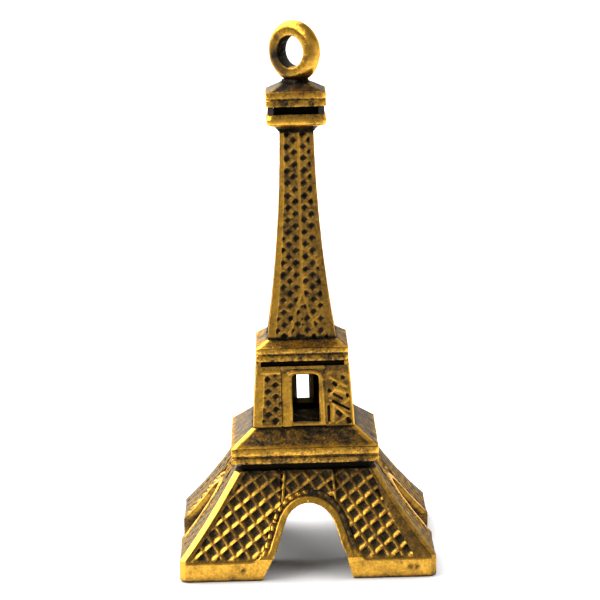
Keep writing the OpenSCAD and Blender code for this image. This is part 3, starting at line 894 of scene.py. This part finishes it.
class Nodes:
    """Short way to write a material's node tree."""

    def __init__(self, material):
        material.use_nodes = True
        self.tree = material.node_tree
        self.tree.nodes.clear()

    def add(self, kind, **values):
        node = self.tree.nodes.new(kind)
        for key, value in values.items():
            if key in node.inputs:
                node.inputs[key].default_value = value
            else:
                setattr(node, key, value)
        return node

    def link(self, source, target):
        self.tree.links.new(source, target)

    def math(self, operation, a, b, clamp=False):
        node = self.tree.nodes.new("ShaderNodeMath")
        node.operation = operation
        node.use_clamp = clamp
        for k, value in enumerate((a, b)):
            if isinstance(value, (int, float)):
                node.inputs[k].default_value = value
            else:
                self.link(value, node.inputs[k])
        return node.outputs[0]


def ramp(n, source, low_in, high_in, low_out, high_out):
    """Maps one range of a value to another."""
    node = n.add("ShaderNodeMapRange")
    values = {"From Min": low_in, "From Max": high_in, "To Min": low_out, "To Max": high_out}
    for key, value in values.items():
        node.inputs[key].default_value = value
    n.link(source, node.inputs["Value"])
    return node.outputs["Result"]


# Colours by level, from dark patina to rubbed gold, with the two ends of the ramp first
gold_tones = ((0.08, (0.008, 0.006, 0.0035)), (1.0, (0.88, 0.47, 0.06)), (0.26, (0.1, 0.056, 0.016)),
              (0.5, (0.32, 0.172, 0.032)), (0.78, (0.64, 0.335, 0.042)))


def antique_gold(name, patches=0.5, seed=0.0, gloss=0.3):
    """Gold plating over a dark patina, by each point's level of rubbing and painted light. patches is how
    blotchy it is.
    """
    material = bpy.data.materials.new(name)
    n = Nodes(material)
    coords = n.add("ShaderNodeTexCoord")
    to_mm = n.add("ShaderNodeMapping", vector_type="POINT")
    to_mm.inputs["Scale"].default_value = (1 / MM,) * 3
    to_mm.inputs["Location"].default_value = (seed, seed * 0.7, 0)
    n.link(coords.outputs["Object"], to_mm.inputs["Vector"])
    wear_and_light = n.add("ShaderNodeAttribute", attribute_name="wear_and_light")
    blotch = n.add("ShaderNodeTexNoise", Scale=2.2, Detail=4.0, Roughness=0.62)
    speck = n.add("ShaderNodeTexNoise", Scale=9.0, Detail=3.0, Roughness=0.6)
    for texture in (blotch, speck):
        n.link(to_mm.outputs["Vector"], texture.inputs["Vector"])
    crevice = n.add("ShaderNodeAmbientOcclusion", samples=6, Distance=0.35 * MM)
    blotches = n.math("MULTIPLY", n.math("SUBTRACT", blotch.outputs["Fac"], 0.5), 1.5 * patches)
    specks = n.math("MULTIPLY", n.math("SUBTRACT", speck.outputs["Fac"], 0.5), 1.6 * patches)
    shade = n.math("MULTIPLY", n.math("SUBTRACT", 1.0, crevice.outputs["AO"]), 0.7)
    raw = n.math("SUBTRACT", n.math("ADD", n.math("ADD", wear_and_light.outputs["Fac"], blotches), specks), shade)
    level = n.math("MAXIMUM", raw, 0.0, clamp=True)
    colour = n.add("ShaderNodeValToRGB")
    tones = colour.color_ramp.elements
    for k, (position, rgb) in enumerate(gold_tones):
        tone = tones[k] if k < 2 else tones.new(position)
        tone.position = position
        tone.color = (*rgb, 1)
    n.link(level, colour.inputs["Fac"])
    shader = n.add("ShaderNodeBsdfPrincipled")
    shader.inputs["Specular Tint"].default_value = (1.0, 0.78, 0.5, 1)
    n.link(colour.outputs["Color"], shader.inputs["Base Color"])
    n.link(ramp(n, level, 0.08, 0.4, 0.1, 1.0), shader.inputs["Metallic"])
    n.link(ramp(n, level, 0.2, 0.9, gloss + 0.22, gloss), shader.inputs["Roughness"])
    n.link(ramp(n, raw, -0.4, 0.15, 0.0, 0.5), shader.inputs["Specular IOR Level"])
    pitting = n.add("ShaderNodeTexNoise", Scale=14.0, Detail=2.0, Roughness=0.5)
    n.link(to_mm.outputs["Vector"], pitting.inputs["Vector"])
    bump = n.add("ShaderNodeBump", Strength=0.35, Distance=0.02 * MM)
    n.link(pitting.outputs["Fac"], bump.inputs["Height"])
    n.link(bump.outputs["Normal"], shader.inputs["Normal"])
    output = n.add("ShaderNodeOutputMaterial")
    n.link(shader.outputs["BSDF"], output.inputs["Surface"])
    return material


def patina(name, colour, gloss):
    """Plain dark patina with a fine grain, for deep recesses."""
    material = bpy.data.materials.new(name)
    n = Nodes(material)
    coords = n.add("ShaderNodeTexCoord")
    to_mm = n.add("ShaderNodeMapping", vector_type="POINT")
    to_mm.inputs["Scale"].default_value = (1 / MM,) * 3
    n.link(coords.outputs["Object"], to_mm.inputs["Vector"])
    noise = n.add("ShaderNodeTexNoise", Scale=3.0, Detail=4.0, Roughness=0.65)
    n.link(to_mm.outputs["Vector"], noise.inputs["Vector"])
    tones = n.add("ShaderNodeValToRGB")
    tones.color_ramp.elements[0].position = 0.35
    tones.color_ramp.elements[0].color = (*(0.55 * v for v in colour), 1)
    tones.color_ramp.elements[1].position = 0.7
    tones.color_ramp.elements[1].color = (*colour, 1)
    n.link(noise.outputs["Fac"], tones.inputs["Fac"])
    shader = n.add("ShaderNodeBsdfPrincipled", Roughness=gloss)
    shader.inputs["Specular Tint"].default_value = (1.0, 0.85, 0.7, 1)
    shader.inputs["Specular IOR Level"].default_value = 0.1
    n.link(tones.outputs["Color"], shader.inputs["Base Color"])
    bump = n.add("ShaderNodeBump", Strength=0.3, Distance=0.02 * MM)
    n.link(noise.outputs["Fac"], bump.inputs["Height"])
    n.link(bump.outputs["Normal"], shader.inputs["Normal"])
    output = n.add("ShaderNodeOutputMaterial")
    n.link(shader.outputs["BSDF"], output.inputs["Surface"])
    return material


lattice_gold = antique_gold("antique_lattice", patches=0.45, seed=1.0, gloss=0.26)
spire_gold = antique_gold("antique_spire", patches=0.38, seed=2.0)
moulding_gold = antique_gold("antique_moulding", patches=0.85, seed=3.0, gloss=0.26)
roof_gold = antique_gold("antique_roof", patches=0.95, seed=4.0, gloss=0.3)
ring_gold = antique_gold("antique_ring", patches=0.35, seed=5.0, gloss=0.24)
# Near-black patina for the cores, which also paints the shade in these deep recesses
recess_black = patina("recess_patina_and_shade", (0.01, 0.0075, 0.005), 0.8)
post_patina = patina("post_patina", (0.12, 0.095, 0.08), 0.5)


# ---- Pieces ----

for side in range(4):
    make_leg(side)
    make_arch(side)
    make_spandrel(side)
    make_mid_post(side)
    make_spire_panel(side)

make_window(0, left=-0.5, right=0.72, sill=6.56)
make_window(1, left=-0.62, right=0.62, sill=6.56)
make_window(2, left=-0.3, right=0.26, sill=6.7)
make_window(3, left=-0.62, right=0.62, sill=6.56)

make_core("base_collar", [(collar_hw, leg_top_z), (collar_hw, deck1_z)])
make_platform("first_platform", deck1_z, deck1_top_z, deck1_hw, lower_h=0.28, per_side=110, radius=0.16)
make_roof("first_roof", deck1_top_z, mid_z, mid_hw + 0.03, rubs=(0.85, 0.3, 1.25), per_side=90, radius=0.22)

make_upper_collar()
make_platform("second_platform", deck2_z, deck2_top_z, deck2_hw, lower_h=0.29, per_side=80, radius=0.16)
make_roof("second_roof", deck2_top_z, spire_z, spire_hw + 0.02, rubs=(0.8, 0.55, 1.0), per_side=70,
          radius=0.18, steps=10)

spire_inside = [(float(spire_slope(z)) - panel_t, z) for z in np.linspace(spire_z, spire_top_z, 20)]
make_core("spire_core", spire_inside, radius=0.02, per_side=8)

make_cabin_floor()
make_core("cabin_core", [(core_hw, cabin_z), (core_hw, cornice_z)])
make_platform("cabin_cornice", cornice_z, cornice_top_z, cabin_hw, lower_h=0.3, per_side=60, radius=0.2,
              groove=0.03)
make_roof("cabin_roof", cornice_top_z, roof_top_z, 0.65, rubs=(0.55, 0.12, 0.3), per_side=50, radius=0.16,
          steps=10)

make_loop()

# The cabin's corner posts keep their CAD shape
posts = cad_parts["cabin_corner_posts"]
posts.data.materials.clear()
posts.data.materials.append(post_patina)


# ---- Floor, light and camera ----

def make_floor():
    """White paper under the charm, in metres. It ends close in front of it."""
    mesh = bpy.data.meshes.new("floor")
    reach, front = 0.6, -0.022
    mesh.from_pydata([(-reach, front, 0), (reach, front, 0), (reach, reach, 0), (-reach, reach, 0)],
                     [], [(0, 1, 2, 3)])
    floor = bpy.data.objects.new("floor", mesh)
    bpy.context.scene.collection.objects.link(floor)
    paper = bpy.data.materials.new("white_paper")
    n = Nodes(paper)
    shader = n.add("ShaderNodeBsdfPrincipled", Roughness=0.7)
    shader.inputs["Base Color"].default_value = (0.9, 0.9, 0.9, 1)
    output = n.add("ShaderNodeOutputMaterial")
    n.link(shader.outputs["BSDF"], output.inputs["Surface"])
    mesh.materials.append(paper)


def towards(n, direction, aim):
    """How nearly a direction points at an aim: 1 straight at it, 0 across it."""
    facing = n.add("ShaderNodeVectorMath", operation="DOT_PRODUCT")
    n.link(direction, facing.inputs[0])
    facing.inputs[1].default_value = Vector(aim).normalized()
    return facing.outputs["Value"]


def make_world():
    """Light with no lamps in it. Gloss reflects a studio: a white sweep behind, a softbox high
    behind on the left, a lamp high in front on the left, a weak card on the right, a bright
    table, and a dim room in front and above. Matt surfaces get a dome that is brighter behind
    and high on both sides. The camera sees plain white."""
    world = bpy.data.worlds.new("studio")
    bpy.context.scene.world = world
    n = Nodes(world)
    coords = n.add("ShaderNodeTexCoord")
    direction = coords.outputs["Generated"]
    parts = n.add("ShaderNodeSeparateXYZ")
    n.link(direction, parts.inputs[0])
    behind = ramp(n, parts.outputs["Y"], -0.15, 0.25, 0.14, 1.0)
    ahead = ramp(n, parts.outputs["Y"], -1.0, -0.35, 0.36, 0.0)
    table = ramp(n, parts.outputs["Z"], -0.28, -0.1, 1.0, 0.0)
    sky = n.add("ShaderNodeMix", data_type="FLOAT")
    n.link(ramp(n, parts.outputs["Z"], 0.45, 0.85, 0.0, 1.0), sky.inputs[0])
    n.link(n.math("MAXIMUM", n.math("ADD", behind, ahead), table), sky.inputs[2])
    sky.inputs[3].default_value = 0.26
    softbox = ramp(n, towards(n, direction, (-0.5, 0.6, 0.62)), 0.78, 0.93, 0.0, 4.5)
    lamp = ramp(n, towards(n, direction, (-0.63, -0.34, 0.73)), 0.86, 0.97, 0.0, 3.0)
    card = ramp(n, towards(n, direction, (0.8, -0.52, -0.15)), 0.75, 0.95, 0.0, 0.7)
    lights = n.math("ADD", n.math("ADD", softbox, lamp), card)
    gloss = n.add("ShaderNodeBackground")
    n.link(n.math("ADD", sky.outputs[0], lights), gloss.inputs["Strength"])
    dome = n.add("ShaderNodeBackground")
    light = ramp(n, parts.outputs["Y"], -0.4, 0.4, 0.08, 0.75)
    for aim, strength in (((-0.72, 0.25, 0.64), 3.2), ((0.72, 0.25, 0.64), 2.2)):
        light = n.math("ADD", light, ramp(n, towards(n, direction, aim), 0.6, 0.95, 0.0, strength))
    n.link(light, dome.inputs["Strength"])
    white = n.add("ShaderNodeBackground", Strength=1.2)
    for node in (gloss, dome, white):
        node.inputs["Color"].default_value = (1, 1, 1, 1)
    path = n.add("ShaderNodeLightPath")
    soft = n.add("ShaderNodeMixShader")
    n.link(path.outputs["Is Diffuse Ray"], soft.inputs["Fac"])
    n.link(gloss.outputs[0], soft.inputs[1])
    n.link(dome.outputs[0], soft.inputs[2])
    mix = n.add("ShaderNodeMixShader")
    n.link(path.outputs["Is Camera Ray"], mix.inputs["Fac"])
    n.link(soft.outputs[0], mix.inputs[1])
    n.link(white.outputs[0], mix.inputs[2])
    output = n.add("ShaderNodeOutputWorld")
    n.link(mix.outputs[0], output.inputs["Surface"])


def make_camera():
    """Camera low in front of the charm, looking slightly down on it."""
    azimuth, elevation, roll = (math.radians(a) for a in (-0.387, 10.758, -1.440))
    distance = 140.07 * MM
    target = Vector((-0.027, 0, 11.871)) * MM
    forward = Vector((math.sin(-azimuth) * math.cos(elevation), math.cos(azimuth) * math.cos(elevation),
                      -math.sin(elevation)))
    right = forward.cross(Vector((0, 0, 1))).normalized()
    up = right.cross(forward)
    side = math.cos(roll) * right + math.sin(roll) * up
    top = -math.sin(roll) * right + math.cos(roll) * up
    camera = bpy.data.cameras.new("camera")
    camera.sensor_width = 36
    camera.lens = 179.92
    camera.clip_start = 0.01
    camera.clip_end = 10
    holder = bpy.data.objects.new("camera", camera)
    bpy.context.scene.collection.objects.link(holder)
    turn = Matrix((side, top, -forward)).transposed().to_4x4()
    holder.matrix_world = Matrix.Translation(target - forward * distance) @ turn
    bpy.context.scene.camera = holder


make_floor()
make_world()
make_camera()
bpy.context.scene.view_settings.view_transform = "Standard"
